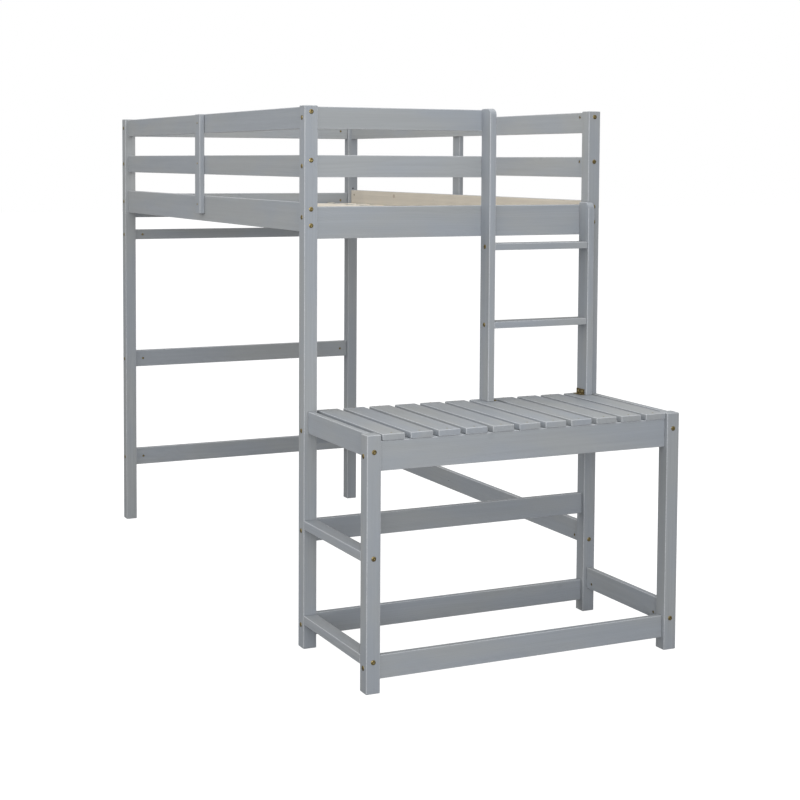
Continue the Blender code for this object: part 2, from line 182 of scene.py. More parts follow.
class Shading:
    """Short calls that add nodes to one shader tree, and return what the nodes put out."""

    def __init__(self, tree):
        self.tree = tree

    def put(self, socket, value):
        """Links an output socket to the socket, or sets the socket to a plain value."""
        if isinstance(value, bpy.types.NodeSocket):
            self.tree.links.new(value, socket)
        else:
            socket.default_value = value

    def math(self, operation, a, b=0.0, c=0.0):
        node = self.tree.nodes.new("ShaderNodeMath")
        node.operation = operation
        for socket, value in zip(node.inputs, (a, b, c)):
            self.put(socket, value)
        return node.outputs[0]

    def vector(self, operation, a, b=(0, 0, 0), output="Vector"):
        node = self.tree.nodes.new("ShaderNodeVectorMath")
        node.operation = operation
        self.put(node.inputs[0], a)
        self.put(node.inputs[1], b)
        return node.outputs[output]

    def split(self, vector):
        node = self.tree.nodes.new("ShaderNodeSeparateXYZ")
        self.put(node.inputs[0], vector)
        return node.outputs[0], node.outputs[1], node.outputs[2]

    def join(self, x, y, z):
        node = self.tree.nodes.new("ShaderNodeCombineXYZ")
        for socket, value in zip(node.inputs, (x, y, z)):
            self.put(socket, value)
        return node.outputs[0]

    def noise(self, place, stretch, detail, roughness=0.5, output="Fac"):
        """Noise that changes stretch times in a metre along each axis."""
        node = self.tree.nodes.new("ShaderNodeTexNoise")
        self.put(node.inputs["Vector"], self.vector("MULTIPLY", place, stretch))
        node.inputs["Scale"].default_value = 1.0
        node.inputs["Detail"].default_value = detail
        node.inputs["Roughness"].default_value = roughness
        return node.outputs[output]

    def cells(self, place, scale):
        node = self.tree.nodes.new("ShaderNodeTexVoronoi")
        self.put(node.inputs["Vector"], place)
        node.inputs["Scale"].default_value = scale
        return node.outputs["Distance"]

    def rise(self, value, low, high):
        """0 below low and 1 above high, smooth between them; low may be the larger."""
        node = self.tree.nodes.new("ShaderNodeMapRange")
        node.interpolation_type = "SMOOTHSTEP"
        for socket, setting in zip(node.inputs, (value, low, high, 0.0, 1.0)):
            self.put(socket, setting)
        return node.outputs[0]

    def blend(self, factor, a, b):
        node = self.tree.nodes.new("ShaderNodeMix")
        node.data_type = "RGBA"
        self.put(node.inputs["Factor"], factor)
        self.put(node.inputs["A"], (*a, 1) if isinstance(a, tuple) else a)
        self.put(node.inputs["B"], (*b, 1) if isinstance(b, tuple) else b)
        return node.outputs["Result"]

    def scaled(self, colour, value):
        """The colour times a grey value."""
        return self.vector("MULTIPLY", colour, self.join(value, value, value))

    def bump(self, height, strength, distance):
        node = self.tree.nodes.new("ShaderNodeBump")
        node.inputs["Strength"].default_value = strength
        node.inputs["Distance"].default_value = distance
        self.put(node.inputs["Height"], height)
        return node.outputs[0]


def new_material(name):
    """A material with a Principled shader; returns the material, the shader and the Shading of its tree."""
    material = bpy.data.materials.new(name)
    material.use_nodes = True
    return material, material.node_tree.nodes["Principled BSDF"], Shading(material.node_tree)


def object_place(s):
    """The shaded point in the row's frame, as every piece sits at the origin."""
    return s.tree.nodes.new("ShaderNodeTexCoord").outputs["Object"]


def pine_figure():
    """Group: growth rings, fibres, streaks and knots of pine with its grain along X and its pith on X."""
    group = bpy.data.node_groups.new("pine_figure", "ShaderNodeTree")
    group.interface.new_socket("Place", in_out="INPUT", socket_type="NodeSocketVector")
    for name in ("Latewood", "Fibre", "Streak", "Knot"):
        group.interface.new_socket(name, in_out="OUTPUT", socket_type="NodeSocketFloat")
    place = group.nodes.new("NodeGroupInput").outputs["Place"]
    out = group.nodes.new("NodeGroupOutput")
    s = Shading(group)
    drift = s.vector("SUBTRACT", s.noise(place, (1.3, 6.0, 6.0), 2.0, output="Color"), (0.5, 0.5, 0.5))
    drift = s.vector("MULTIPLY", drift, (0.0, RING_DRIFT, RING_DRIFT))
    knot_distance = s.cells(s.vector("MULTIPLY", place, (0.8, 1.0, 1.0)), KNOTS_PER_METRE)
    swirl = s.math("MULTIPLY", s.rise(knot_distance, 0.30, 0.04), KNOT_SWIRL)
    across = s.vector("MULTIPLY", s.vector("ADD", place, drift), (0.0, 1.0, 1.0))
    radius = s.math("ADD", s.vector("LENGTH", across, output="Value"), swirl)
    uneven = s.noise(place, (0.5, 40.0, 40.0), 1.0)
    phase = s.math("ADD", s.math("DIVIDE", radius, RING_WIDTH), s.math("MULTIPLY", uneven, 0.9))
    ring = s.math("FRACT", phase)
    latewood = s.math("SUBTRACT", s.rise(ring, 0.35, 0.86), s.rise(ring, 0.90, 1.0))
    s.put(out.inputs["Latewood"], latewood)
    s.put(out.inputs["Fibre"], s.noise(place, (22.0, 1500.0, 1500.0), 2.0, 0.6))
    s.put(out.inputs["Streak"], s.noise(place, (2.2, 95.0, 95.0), 3.0, 0.55))
    s.put(out.inputs["Knot"], s.rise(knot_distance, 0.075, 0.045))
    return group


PINE = pine_figure()


def grain_place(s, axis, centre, chance):
    """Coordinates from the board's middle with the grain along X, at a random distance from the pith."""
    parts = s.split(s.vector("SUBTRACT", object_place(s), tuple(centre)))
    turned = s.join(parts[axis], parts[(axis + 1) % 3], parts[(axis + 2) % 3])
    angle = chance.uniform(0, 2 * math.pi)
    pith = chance.uniform(0.06, 0.12)
    shift = (chance.uniform(-40, 40), pith * math.cos(angle), pith * math.sin(angle))
    return s.vector("ADD", turned, shift)


def figure(s, place):
    """The outputs Latewood, Fibre, Streak and Knot of the pine figure at a place."""
    node = s.tree.nodes.new("ShaderNodeGroup")
    node.node_tree = PINE
    s.put(node.inputs["Place"], place)
    return node.outputs


def face_depths(s, low, high):
    """How deep a point lies behind the nearer of the board's two faces across x, y and z."""
    place = object_place(s)
    above = s.vector("SUBTRACT", place, tuple(low))
    below = s.vector("SUBTRACT", tuple(high), place)
    return s.split(s.vector("MINIMUM", above, below))


def edge_distance(s, low, high):
    """How far a point on a face of the board lies from the nearest edge of that face."""
    x, y, z = face_depths(s, low, high)
    smaller = s.math("MINIMUM", x, y)
    larger = s.math("MAXIMUM", x, y)
    return s.math("MAXIMUM", smaller, s.math("MINIMUM", larger, z))


def paint_layer(s, place, wood, low, high, tint):
    """Colour, roughness and height of satin grey paint over pine, with a painted highlight along its edges.
    """
    cloud = s.noise(place, (2.5, 9.0, 9.0), 3.0)
    colour = s.blend(s.rise(cloud, 0.36, 0.64), PAINT_COOL, PAINT_WARM)
    tone = s.math("MULTIPLY_ADD", wood["Streak"], 0.20, 0.90 + tint)
    tone = s.math("SUBTRACT", tone, s.math("MULTIPLY", wood["Latewood"], 0.035))
    tone = s.math("MULTIPLY_ADD", s.math("SUBTRACT", wood["Fibre"], 0.5), 0.09, tone)
    tone = s.math("SUBTRACT", tone, s.math("MULTIPLY", wood["Knot"], 0.06))
    colour = s.scaled(colour, tone)
    # A painted highlight: lighter paint along every edge, ragged like wear
    edge = edge_distance(s, low, high)
    ragged = s.noise(object_place(s), (260.0, 260.0, 260.0), 2.0)
    highlight_line = s.math("ADD", edge, s.math("MULTIPLY", s.math("SUBTRACT", ragged, 0.5), EDGE_HIGHLIGHT_RAGGED))
    edge_highlight = s.math("MULTIPLY", s.rise(highlight_line, *EDGE_HIGHLIGHT_BAND), EDGE_HIGHLIGHT_STRENGTH)
    colour = s.blend(edge_highlight, colour, PAINT_EDGE_HIGHLIGHT)
    spray = s.noise(object_place(s), (700.0, 700.0, 700.0), 2.0)
    roughness = s.math("MULTIPLY_ADD", s.noise(place, (14.0, 60.0, 60.0), 2.0), 0.16, 0.40)
    height = s.math("MULTIPLY", wood["Latewood"], 0.45)
    height = s.math("MULTIPLY_ADD", wood["Fibre"], 0.40, height)
    height = s.math("MULTIPLY_ADD", spray, 0.22, height)
    height = s.math("SUBTRACT", height, s.math("MULTIPLY", wood["Knot"], 0.5))
    return colour, roughness, height


def bore_shade(s, low, high, colour):
    """The board's colour, turned to bare wood darkened with painted shade on the walls of its holes, deeper
    than its faces.
    """
    x, y, z = face_depths(s, low, high)
    inside = s.math("MINIMUM", s.math("MINIMUM", x, y), z)
    return s.blend(s.rise(inside, *INSIDE_BORE), colour, SHADED_BORE_WOOD)


def pine_layer(s, wood, tint):
    """Colour, roughness and height of bare planed pine."""
    colour = s.blend(s.math("MULTIPLY", wood["Latewood"], 0.62), PINE_EARLY, PINE_LATE)
    tone = s.math("MULTIPLY_ADD", wood["Streak"], 0.34, 0.83 + tint)
    tone = s.math("MULTIPLY_ADD", s.math("SUBTRACT", wood["Fibre"], 0.5), 0.18, tone)
    colour = s.blend(s.math("MULTIPLY", wood["Knot"], 0.40), s.scaled(colour, tone), PINE_KNOT)
    roughness = s.math("MULTIPLY_ADD", wood["Fibre"], 0.2, 0.50)
    height = s.math("MULTIPLY_ADD", wood["Fibre"], 0.6, s.math("MULTIPLY", wood["Latewood"], 0.5))
    return colour, roughness, height


def painted_wood(name, axis, low, high, bare_side=None):
    """Satin paint on one board. bare_side = (axis, sign) leaves that one face of the board unpainted."""
    chance = random.Random(name)
    material, shader, s = new_material("painted_" + name)
    place = grain_place(s, axis, (low + high) / 2, chance)
    wood = figure(s, place)
    tint = chance.uniform(-0.022, 0.022)
    colour, roughness, height = paint_layer(s, place, wood, low, high, tint)
    # Painted shade inside the holes that no bolt fills
    if name in OPEN_BORES:
        colour = bore_shade(s, low, high, colour)
    if bare_side is not None:
        bare_colour, bare_roughness, bare_height = pine_layer(s, wood, tint)
        side, sign = bare_side
        here = s.split(object_place(s))[side]
        depth = (here, low[side]) if sign < 0 else (high[side], here)
        ragged = s.noise(object_place(s), (150.0, 150.0, 150.0), 3.0)
        line = s.math("MULTIPLY_ADD", ragged, BARE_RAGGED, s.math("SUBTRACT", *depth))
        bare = s.rise(line, *BARE_FACE)
        colour = s.blend(bare, colour, bare_colour)
        roughness = s.math("MULTIPLY_ADD", bare, s.math("SUBTRACT", bare_roughness, roughness), roughness)
        height = s.math("MULTIPLY_ADD", bare, s.math("SUBTRACT", bare_height, height), height)
    s.put(shader.inputs["Base Color"], colour)
    s.put(shader.inputs["Roughness"], roughness)
    s.put(shader.inputs["Normal"], s.bump(height, 0.55, PAINT_RELIEF))
    return material


def bare_pine(name, axis, centre, lighter=0.0):
    """Unpainted planed pine on one board, with its grain along the axis."""
    chance = random.Random(name)
    material, shader, s = new_material("pine_" + name)
    place = grain_place(s, axis, centre, chance)
    tint = lighter + chance.uniform(-0.03, 0.05)
    colour, roughness, height = pine_layer(s, figure(s, place), tint)
    s.put(shader.inputs["Base Color"], colour)
    s.put(shader.inputs["Roughness"], roughness)
    s.put(shader.inputs["Normal"], s.bump(height, 0.5, PINE_RELIEF))
    return material


def plated_metal(name, bright, dull, roughness):
    """Plated metal with patches of tarnish and fine scratches."""
    material, shader, s = new_material(name)
    place = object_place(s)
    patch = s.noise(place, (210.0, 210.0, 210.0), 3.0)
    scratch = s.noise(place, (500.0, 3600.0, 1900.0), 1.0)
    tarnish = s.math("MULTIPLY_ADD", scratch, 0.35, s.math("MULTIPLY", patch, 0.85))
    s.put(shader.inputs["Base Color"], s.blend(s.rise(tarnish, 0.38, 0.82), bright, dull))
    s.put(shader.inputs["Roughness"], s.math("MULTIPLY_ADD", patch, 0.22, roughness - 0.1))
    s.put(shader.inputs["Normal"], s.bump(s.math("ADD", scratch, patch), 0.25, METAL_RELIEF))
    shader.inputs["Metallic"].default_value = 1.0
    return material


def woven_webbing(name):
    """A plain weave of polyester: warp threads along y and weft threads along x, with a little fuzz."""
    material, shader, s = new_material(name)
    x, y, _ = s.split(object_place(s))
    warp = s.math("SINE", s.math("MULTIPLY", x, 2 * math.pi / WARP_PITCH))
    weft = s.math("SINE", s.math("MULTIPLY", y, 2 * math.pi / WEFT_PITCH))
    weave = s.math("MULTIPLY_ADD", s.math("MULTIPLY", warp, weft), 0.5, 0.5)
    fuzz = s.noise(object_place(s), (900.0, 900.0, 900.0), 3.0)
    tone = s.math("MULTIPLY_ADD", weave, 0.30, s.math("MULTIPLY_ADD", fuzz, 0.20, 0.62))
    s.put(shader.inputs["Base Color"], s.scaled(s.join(*WEBBING), tone))
    height = s.math("MULTIPLY_ADD", fuzz, 0.3, weave)
    s.put(shader.inputs["Normal"], s.bump(height, 0.8, WEAVE_RELIEF))
    shader.inputs["Roughness"].default_value = 0.85
    shader.inputs["Sheen Weight"].default_value = 0.25
    return material


# ---------------------------------------------------------------------------------------- CAD boards

def smooth_edges_group():
    """Geometry group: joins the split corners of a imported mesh, and keeps only its steep edges sharp."""
    group = bpy.data.node_groups.new("joined_and_smooth", "GeometryNodeTree")
    group.interface.new_socket("Geometry", in_out="INPUT", socket_type="NodeSocketGeometry")
    group.interface.new_socket("Geometry", in_out="OUTPUT", socket_type="NodeSocketGeometry")
    start = group.nodes.new("NodeGroupInput")
    merge = group.nodes.new("GeometryNodeMergeByDistance")
    smooth = group.nodes.new("GeometryNodeSetShadeSmooth")
    sharp = group.nodes.new("GeometryNodeSetShadeSmooth")
    angle = group.nodes.new("GeometryNodeInputMeshEdgeAngle")
    steep = group.nodes.new("FunctionNodeCompare")
    end = group.nodes.new("NodeGroupOutput")
    merge.inputs["Distance"].default_value = MERGE_DISTANCE
    sharp.domain = "EDGE"
    sharp.inputs["Shade Smooth"].default_value = False
    steep.data_type = "FLOAT"
    steep.operation = "GREATER_THAN"
    steep.inputs["B"].default_value = RIM_ANGLE
    group.links.new(start.outputs[0], merge.inputs["Geometry"])
    group.links.new(merge.outputs[0], smooth.inputs["Geometry"])
    group.links.new(smooth.outputs[0], sharp.inputs["Geometry"])
    group.links.new(angle.outputs["Unsigned Angle"], steep.inputs["A"])
    group.links.new(steep.outputs[0], sharp.inputs["Selection"])
    group.links.new(sharp.outputs[0], end.inputs[0])
    return group


JOINED = smooth_edges_group()


def soften(piece):
    """Smooth normals across the rounded edges, with the flat faces kept flat."""
    piece.modifiers.new("joined", "NODES").node_group = JOINED
    weighted = piece.modifiers.new("weighted", "WEIGHTED_NORMAL")
    weighted.mode = "FACE_AREA"
    weighted.weight = 100
    weighted.keep_sharp = True


def long_axis(low, high):
    """The axis that a board is longest along, 0, 1 or 2, and its grain too."""
    size = high - low
    return max(range(3), key=lambda i: size[i])


def set_material(piece, material):
    """Makes the material the piece's only one."""
    piece.data.materials.clear()
    piece.data.materials.append(material)


def finish_boards():
    """A finish of its own for every CAD node that stays in view."""
    bare_sides = {"left_side_rail": (0, 1), "right_side_rail": (0, -1)}
    bronze = plated_metal("bracket_bronze", BRONZE_BRIGHT, BRONZE_DULL, 0.42)
    for name, piece in NODES.items():
        if name == "bed_slat_roll":
            continue
        low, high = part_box(name)
        axis = long_axis(low, high)
        if name.startswith("ladder_bracket"):
            set_material(piece, bronze)
        elif name.startswith("slat_ledger"):
            set_material(piece, bare_pine(name, axis, (low + high) / 2))
        else:
            set_material(piece, painted_wood(name, axis, low, high, bare_sides.get(name)))
        soften(piece)


# ---------------------------------------------------------------------------------------- mesh tools

def add_piece(name, bm, material, replaced=None):
    """Makes the bmesh a piece of the object that rides on its one body, and may stand for a CAD node."""
    mesh = bpy.data.meshes.new(name)
    bmesh.ops.recalc_face_normals(bm, faces=bm.faces)
    bm.to_mesh(mesh)
    bm.free()
    mesh.shade_smooth()
    mesh.set_sharp_from_angle(angle=SMOOTH_ANGLE)
    mesh.materials.append(material)
    piece = bpy.data.objects.new(name, mesh)
    bpy.context.scene.collection.objects.link(piece)
    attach(piece, "root")
    if replaced:
        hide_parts(replaced)
    return piece


def round_shape(radius):
    """Distance from the middle to a circle's outline, the same in each direction."""
    return lambda turn: radius


def hexagon(apothem):
    """Distance from the middle to a hexagon's outline in each direction."""
    sixth = math.pi / 3
    return lambda turn: apothem / math.cos((turn + sixth / 2) % sixth - sixth / 2)


def cross(half, reach):
    """The outline of a cross-shaped recess, with arms of that half width."""
    quarter = math.pi / 2

    def outline(turn):
        off = (turn + quarter / 2) % quarter - quarter / 2
        return min(reach / math.cos(off), half / max(abs(math.sin(off)), LEAST_DIVISOR))

    return outline


def slot_shape(half, reach):
    """The outline of a straight slot along the first direction, of that half width."""

    def outline(turn):
        along = reach / max(abs(math.cos(turn)), LEAST_DIVISOR)
        return min(along, half / max(abs(math.sin(turn)), LEAST_DIVISOR))

    return outline


def turn_solid(bm, rings, place, start_depth, end_depth):
    """A closed solid about Z from rings of (depth, outline), with a middle point at each end."""
    loops = []
    for depth, outline in rings:
        loop = []
        for i in range(TURNED_SIDES):
            turn = 2 * math.pi * i / TURNED_SIDES
            radius = outline(turn)
            point = Vector((radius * math.cos(turn), radius * math.sin(turn), depth))
            loop.append(bm.verts.new(place @ point))
        loops.append(loop)
    first = bm.verts.new(place @ Vector((0, 0, start_depth)))
    last = bm.verts.new(place @ Vector((0, 0, end_depth)))
    for i in range(TURNED_SIDES):
        j = (i + 1) % TURNED_SIDES
        bm.faces.new((first, loops[0][i], loops[0][j]))
        bm.faces.new((last, loops[-1][j], loops[-1][i]))
        for near, far in zip(loops, loops[1:]):
            bm.faces.new((near[j], near[i], far[i], far[j]))


def facing(point, direction, turn):
    """A frame at the point with its Z along the direction, turned about it."""
    direction = Vector(direction)
    look = direction.to_track_quat("Z", "Y").to_matrix().to_4x4()
    return Matrix.Translation(point) @ look @ Matrix.Rotation(turn, 4, "Z")


def add_bolt(bm, point, direction, shank, turn):
    """A low domed head with a hexagon socket on the post's face, and its shank down the bore."""
    tip = -shank
    rings = [
        (SOCKET_FLOOR, hexagon(SOCKET_APOTHEM)),
        (HEAD_RISE - SOCKET_CHAMFER, hexagon(SOCKET_APOTHEM)),
        (HEAD_RISE, round_shape(SOCKET_APOTHEM + SOCKET_RIM)),
    ]
    for rise, reach in HEAD_DOME:
        rings.append((HEAD_RISE * rise, round_shape(HEAD_RADIUS * reach)))
    rings += [
        (HEAD_GAP, round_shape(HEAD_RADIUS)),
        (HEAD_GAP, round_shape(SHANK_RADIUS)),
        (tip + SHANK_POINT, round_shape(SHANK_RADIUS)),
        (tip, round_shape(SHANK_TIP)),
    ]
    turn_solid(bm, rings, facing(point, direction, turn), -SOCKET_FLOOR, tip)


def add_nut(bm, point, direction, turn):
    """A barrel nut in its hole, with a screwdriver slot across its end."""
    top = -NUT_SUNK
    bottom = top - NUT_LENGTH
    slot = slot_shape(NUT_SLOT_HALF, NUT_SLOT_REACH)
    body = round_shape(NUT_RADIUS)
    end = round_shape(NUT_END)
    rings = [
        (top - NUT_SLOT_DEPTH, slot),
        (top, slot),
        (top, end),
        (top - NUT_CHAMFER, body),
        (bottom + NUT_CHAMFER, body),
        (bottom, end),
    ]
    turn_solid(bm, rings, facing(point, direction, turn), top - NUT_SLOT_DEPTH, bottom)


def add_screw(bm, point, direction, turn, head, length):
    """A raised countersunk wood screw with a cross recess; head is the radius of its head."""
    rise = head * 0.28
    core = head * 0.45
    rings = [
        (rise * 0.20, cross(head * 0.10, head * 0.42)),
        (rise * 0.92, cross(head * 0.15, head * 0.55)),
        (rise, round_shape(head * 0.66)),
        (rise * 0.80, round_shape(head * 0.84)),
        (rise * 0.25, round_shape(head)),
        (-rise * 0.2, round_shape(head)),
        (-head * 0.6, round_shape(core)),
        (-length + head * 1.4, round_shape(core)),
        (-length + head * 0.2, round_shape(core * 0.2)),
    ]
    turn_solid(bm, rings, facing(point, direction, turn), rise * 0.20, -length)


def bevelled_box(bm, low, high, width):
    """A box with rounded edges."""
    low, high = Vector(low), Vector(high)
    scale = Matrix.Diagonal((*(high - low), 1))
    made = bmesh.ops.create_cube(bm, size=1, matrix=Matrix.Translation((low + high) / 2) @ scale)
    edges = list({e for v in made["verts"] for e in v.link_edges})
    bmesh.ops.bevel(bm, geom=edges, offset=width, segments=3, affect="EDGES", profile=0.5)


def sweep_band(bm, path, x, width, thick):
    """A flat band across x that follows a path of (y, z) points, with tapered edges."""
    half = width / 2
    t = thick / 2
    section = [(-half, 0), (-half + t, t), (half - t, t), (half, 0), (half - t, -t), (-half + t, -t)]
    loops = []
    for i, (y, z) in enumerate(path):
        before = Vector(path[max(i - 1, 0)])
        after = Vector(path[min(i + 1, len(path) - 1)])
        along = (after - before).normalized()
        normal = Vector((-along.y, along.x))
        loop = []
        for dx, dn in section:
            loop.append(bm.verts.new((x + dx, y + normal.x * dn, z + normal.y * dn)))
        loops.append(loop)
    count = len(section)
    for near, far in zip(loops, loops[1:]):
        for i in range(count):
            j = (i + 1) % count
            bm.faces.new((near[i], near[j], far[j], far[i]))
    bm.faces.new(loops[0][::-1])
    bm.faces.new(loops[-1])


# ---------------------------------------------------------------------------------------- hardware

# Each row: rail, posts at its left and right end, bolt heights from its middle, side of the nuts
CROSS_RAILS = [
    ("front_end_rail", "post_front_left", "post_front_right", (0.017,), 1),
    ("front_guard_rail_top", "post_front_left", None, (0.0,), 1),
    ("front_guard_rail_mid", "post_front_left", None, (0.0,), 1),
    ("rear_guard_rail_top", "post_rear_left", "post_rear_right", (0.0,), -1),
    ("rear_guard_rail_mid", "post_rear_left", "post_rear_right", (0.0,), -1),
    ("rear_end_rail", "post_rear_left", "post_rear_right", (0.017,), -1),
    ("rear_upper_crossbar", "post_rear_left", "post_rear_right", (0.0,), -1),
    ("rear_mid_crossbar", "post_rear_left", "post_rear_right", (0.0,), -1),
    ("rear_low_crossbar", "post_rear_left", "post_rear_right", (0.0,), -1),
    ("desk_front_apron", "desk_leg_left", "desk_leg_right", (0.0,), 1),
    ("desk_front_low_rail", "desk_leg_left", "desk_leg_right", (0.0,), 1),
    ("desk_rear_apron", "post_front_left", "post_front_right", (0.0,), 1),
    ("desk_rear_mid_rail", "post_front_left", "post_front_right", (0.0,), 1),
    ("desk_rear_low_rail", "post_front_left", "post_front_right", (0.0,), 1),
]

# Each row: rail, legs or posts at its front and rear end, bolt heights from its middle, side of the nuts
LONG_RAILS = [
    ("left_guard_rail_top", "post_front_left", "post_rear_left", (0.018,), 1),
    ("left_guard_rail_mid", "post_front_left", "post_rear_left", (0.018,), 1),
    ("left_side_rail", "post_front_left", "post_rear_left", (-0.025, 0.025), 1),
    ("right_guard_rail_top", "post_front_right", "post_rear_right", (0.018,), -1),
    ("right_guard_rail_mid", "post_front_right", "post_rear_right", (0.018,), -1),
    ("right_side_rail", "post_front_right", "post_rear_right", (-0.025, 0.025), -1),
    ("right_lower_stretcher", "post_front_right", "post_rear_right", (-0.018,), -1),
    ("desk_side_board_left", "desk_leg_left", "post_front_left", (-0.01455,), 1),
    ("desk_side_board_right", "desk_leg_right", "post_front_right", (-0.01455,), -1),
    ("desk_right_low_rail", "desk_leg_right", "post_front_right", (-0.016,), -1),
]
STRETCHERS = ("desk_left_mid_stretcher", "desk_left_low_stretcher")
RUNGS = ("ladder_rung_lower", "ladder_rung_upper")

# Each row: rail, height of the guard upright's screw from the rail's middle
UPRIGHT_SCREWS = (
    ("guard_rail_top", 0.002),
    ("guard_rail_mid", 0.005),
    ("side_rail", 0.0145),
)


def middle(node):
    """The middle of a CAD node's box."""
    low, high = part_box(node)
    return (low + high) / 2


class Hardware:
    """Collects the bolts and nuts of each post, leg and stile, and each family of screws, in one mesh."""

    def __init__(self):
        self.meshes = {}
        self.chance = random.Random("hardware")

    def mesh(self, group):
        """The group's mesh, begun when it is first asked for."""
        if group not in self.meshes:
            self.meshes[group] = bmesh.new()
        return self.meshes[group]

    def bolt_and_nut(self, rail, post, axis, end, level, nut_way, nut_axis):
        """One cross bolt from the post's outer face, and its barrel nut in the rail.

        axis and end (-1 or 1) say which end of the rail it is, level how high above its middle, and
        nut_axis and nut_way which side of the rail the nut is dropped into.
        """
        post_low, post_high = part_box(post)
        rail_low, rail_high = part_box(rail)
        outer = post_high[axis] if end > 0 else post_low[axis]
        inner = post_low[axis] if end > 0 else post_high[axis]
        head = middle(rail)
        head.z += level
        head[axis] = outer
        away = Vector((0, 0, 0))
        away[axis] = end
        shank = abs(outer - inner) + NUT_DISTANCE - NUT_RADIUS - SHANK_CLEAR
        turn = self.chance.uniform(0, math.pi)
        add_bolt(self.mesh("bolts_" + post), head, away, shank, turn)
        nut = middle(rail)
        nut.z += level
        nut[axis] = inner - end * NUT_DISTANCE
        spare = (rail_high[nut_axis] - rail_low[nut_axis] - BOARD) / 2
        face = rail_high[nut_axis] if nut_way > 0 else rail_low[nut_axis]
        nut[nut_axis] = face - nut_way * spare
        side = Vector((0, 0, 0))
        side[nut_axis] = nut_way
        turn = self.chance.uniform(0, math.pi)
        add_nut(self.mesh("nuts_" + post), nut, side, turn)

    def screw(self, group, point, direction, head=SCREW_HEAD, length=SCREW_LENGTH):
        """One wood screw in the group's mesh, turned at random."""
        turn = self.chance.uniform(0, math.pi)
        add_screw(self.mesh(group), Vector(point), direction, turn, head, length)

    def make_pieces(self, material, others):
        """Every mesh as a piece, in the material that others has for it or else in the first one."""
        for group, bm in self.meshes.items():
            add_piece(group, bm, others.get(group, material))


def add_cross_bolts(kit):
    """The bolts and barrel nuts of every rail, stretcher and rung."""
    for rail, first, last, levels, nut_way in CROSS_RAILS:
        for level in levels:
            kit.bolt_and_nut(rail, first, 0, -1, level, nut_way, 1)
            if last:
                kit.bolt_and_nut(rail, last, 0, 1, level, nut_way, 1)
    for rail, first, last, levels, nut_way in LONG_RAILS:
        for level in levels:
            kit.bolt_and_nut(rail, first, 1, -1, level, nut_way, 0)
            kit.bolt_and_nut(rail, last, 1, 1, level, nut_way, 0)
    for rail in STRETCHERS:
        kit.bolt_and_nut(rail, "desk_leg_left", 1, -1, 0.0, -1, 2)
        kit.bolt_and_nut(rail, "post_front_left", 1, 1, 0.0, -1, 2)
    for rung in RUNGS:
        kit.bolt_and_nut(rung, "ladder_stile_left", 0, -1, 0.0, -1, 2)
        kit.bolt_and_nut(rung, "ladder_stile_right", 0, 1, 0.0, -1, 2)


def add_wood_screws(kit):
    """Screws of the guard uprights, stiles, desk slats and ledgers."""
    for side, way in (("left", -1), ("right", 1)):
        low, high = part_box(f"{side}_guard_upright")
        face = low.x if way < 0 else high.x
        for rail, level in UPRIGHT_SCREWS:
            point = (face, (low.y + high.y) / 2, middle(f"{side}_{rail}").z + level)
            kit.screw(f"screws_{side}_upright", point, (way, 0, 0), length=UPRIGHT_SCREW_LENGTH)
    joins = [("ladder_stile_left", rail) for rail in ("front_guard_rail_top", "front_guard_rail_mid")]
    joins += [("ladder_stile_left", "front_end_rail"), ("ladder_stile_right", "front_end_rail")]
    for stile, rail in joins:
        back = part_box(rail)[1].y
        for level in STILE_SCREW_LEVELS:
            point = (middle(stile).x, back, middle(rail).z + level)
            kit.screw("screws_ladder_stiles", point, (0, 1, 0), length=STILE_SCREW_LENGTH)
    front = middle("desk_front_apron").y
    back = (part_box("desk_rear_apron")[0].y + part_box("desk_slat_01")[1].y) / 2
    for name in sorted(NODES):
        if name.startswith("desk_slat_"):
            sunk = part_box(name)[1].z - DESK_SCREW_SUNK
            for y in (front, back):
                point = (middle(name).x, y, sunk)
                kit.screw("screws_desk_slats", point, (0, 0, 1), head=SMALL_SCREW_HEAD)
    for side, way in (("left", 1), ("right", -1)):
        low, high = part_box(f"slat_ledger_{side}")
        face = high.x if way > 0 else low.x
        for i in range(LEDGER_SCREWS):
            y = low.y + (high.y - low.y) * (i + 0.5) / LEDGER_SCREWS
            point = (face, y, (low.z + high.z) / 2)
            size = (SMALL_SCREW_HEAD, LEDGER_SCREW_LENGTH)
            kit.screw(f"screws_ledger_{side}", point, (way, 0, 0), *size)


def add_bracket_screws(kit):
    """Two screws in each leg of both ladder brackets, through the holes in the sheet."""
    sheet = BRACKET_SHEET
    size = (BRACKET_SCREW_HEAD, BRACKET_SCREW_LENGTH)
    for side, way in (("left", 1), ("right", -1)):
        low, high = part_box(f"ladder_bracket_{side}")
        wall = low.x if way > 0 else high.x
        foot_x = wall + way * (sheet + (high.x - low.x)) / 2
        wall_z = low.z + (sheet + (high.z - low.z)) / 2
        for shift in BRACKET_SCREW_PLACES:
            y = (low.y + high.y) / 2 + shift * (high.y - low.y)
            kit.screw("screws_brackets", (wall + way * sheet, y, wall_z), (way, 0, 0), *size)
            kit.screw("screws_brackets", (foot_x, y, low.z + sheet), (0, 0, 1), *size)


# ---------------------------------------------------------------------------------------- bed slats

